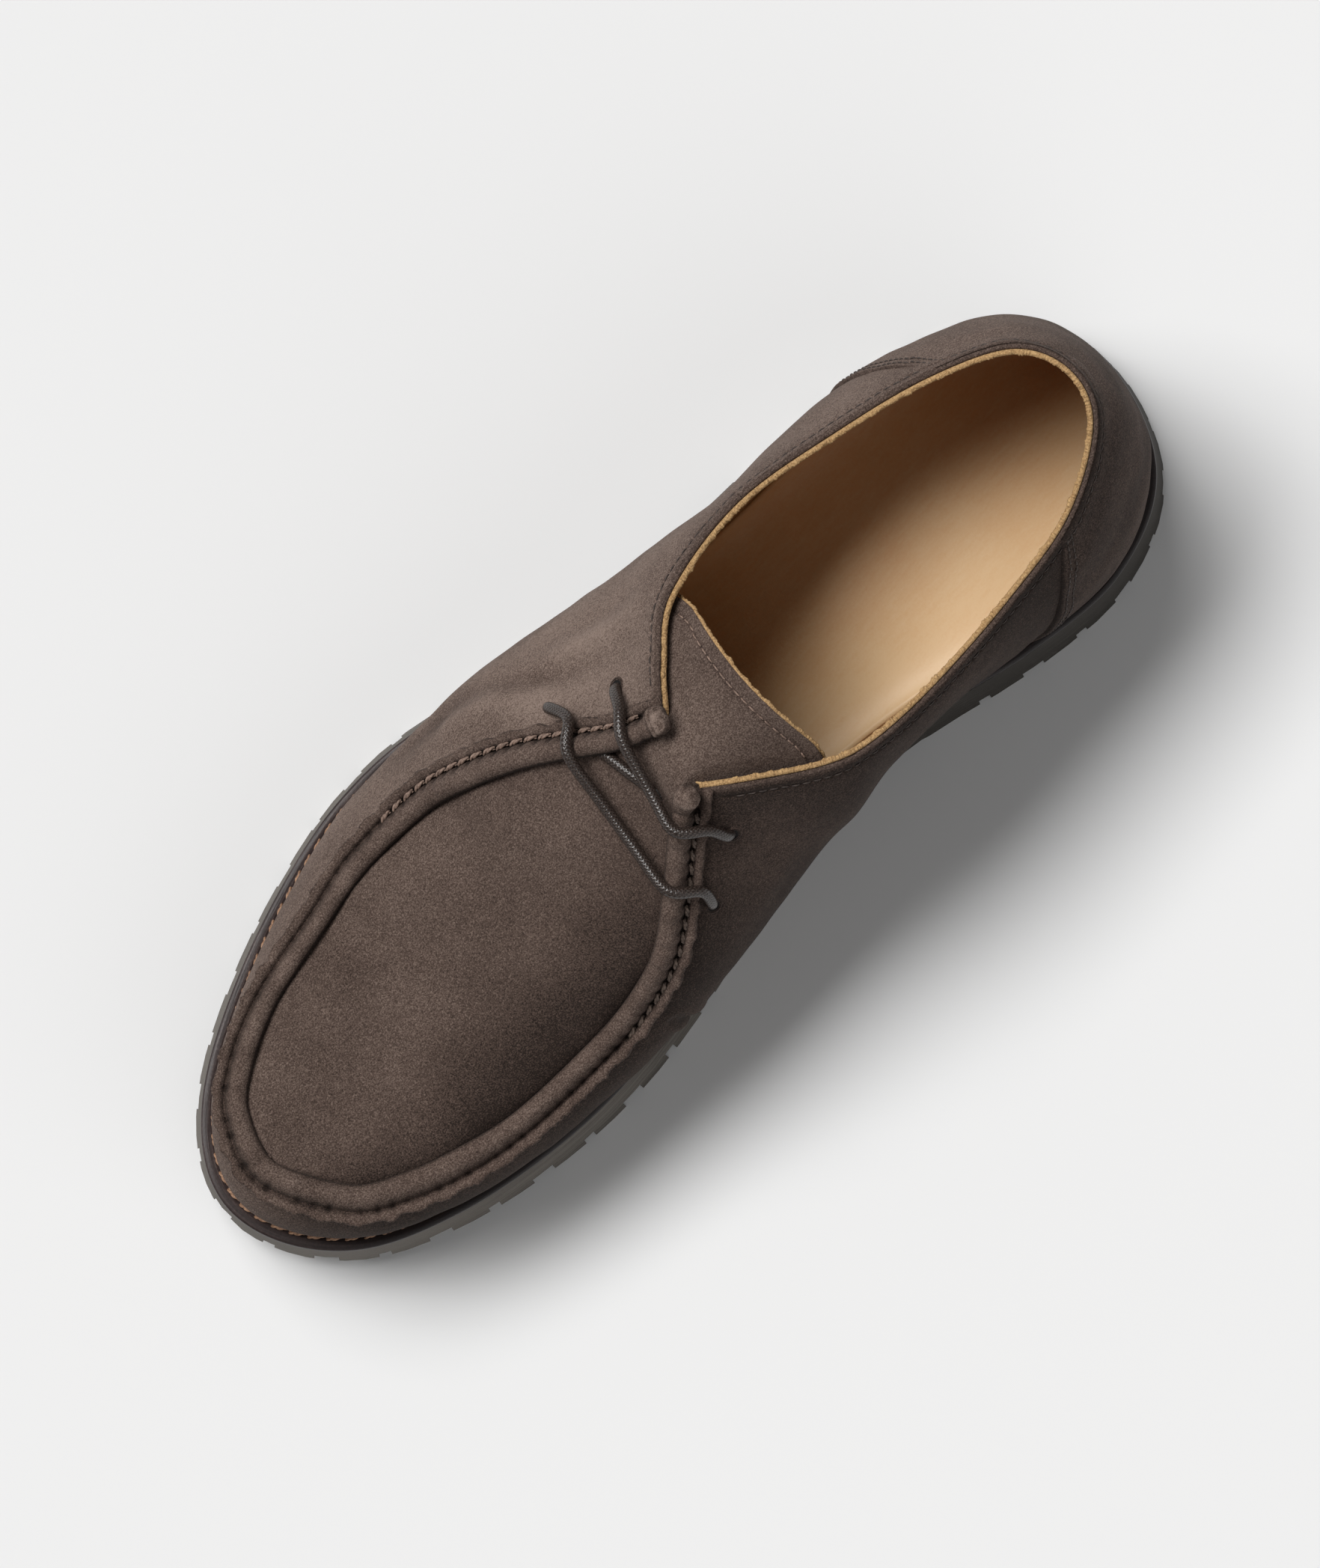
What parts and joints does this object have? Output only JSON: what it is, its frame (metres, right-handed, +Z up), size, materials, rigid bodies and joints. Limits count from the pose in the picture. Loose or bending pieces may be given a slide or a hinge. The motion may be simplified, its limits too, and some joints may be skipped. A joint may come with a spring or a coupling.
{
  "type": "moc toe shoe",
  "caption": "Right moc toe shoe in dark brown suede with a rolled moc seam, two lace crossings, heel counter, welt and lug sole.",
  "frame": {"origin": "centre of the bounding box at ground level, under the sole", "axes": "+X from heel to toe, +Y from the outer side to the inner side, +Z up"},
  "size_m": [0.3028, 0.1055, 0.1081],
  "materials": {
    "suede": "napped",
    "rubber": "matte",
    "welt": "waxed",
    "tan_leather": "smooth",
    "cord": "waxed"
  },
  "bodies": {
    "root": {"outsole": "rubber", "welt": "welt", "upper": "suede", "apron_tongue": "suede", "heel_counter": "suede", "insole": "tan_leather", "lace_bar_lower": "cord", "lace_bar_upper": "cord"}
  },
  "joints": []
}
